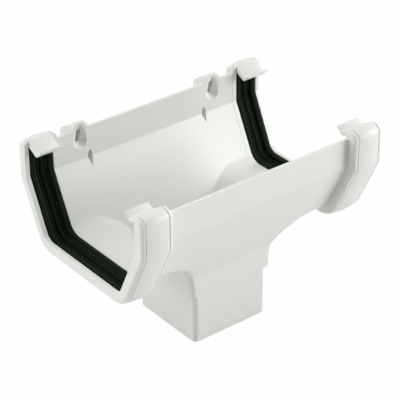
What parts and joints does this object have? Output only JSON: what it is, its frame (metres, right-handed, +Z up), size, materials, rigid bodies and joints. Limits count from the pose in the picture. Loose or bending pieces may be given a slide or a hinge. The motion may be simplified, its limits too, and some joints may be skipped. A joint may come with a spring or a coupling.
{
  "type": "running gutter outlet",
  "caption": "White plastic square-line gutter running outlet with clip-in end sockets, rubber seals, retaining straps and a square spigot.",
  "frame": {"origin": "middle of the box's underside, on the plane of the spigot's open end", "axes": "+Z up out of the trough, X along the gutter, +Y towards the wall side with the two fixing bosses"},
  "size_m": [0.2092, 0.1446, 0.1475],
  "materials": {
    "upvc_body": "glossy white moulded uPVC",
    "seal_rubber_left": "satin black ribbed rubber",
    "seal_rubber_right": "satin black ribbed rubber",
    "upvc_strap_left": "glossy white moulded uPVC",
    "upvc_strap_right": "glossy white moulded uPVC"
  },
  "bodies": {
    "root": {"outlet_body": "upvc_body", "gutter_seal_left": "seal_rubber_left", "gutter_seal_right": "seal_rubber_right", "retaining_strap_left": "upvc_strap_left", "retaining_strap_right": "upvc_strap_right"}
  },
  "joints": []
}
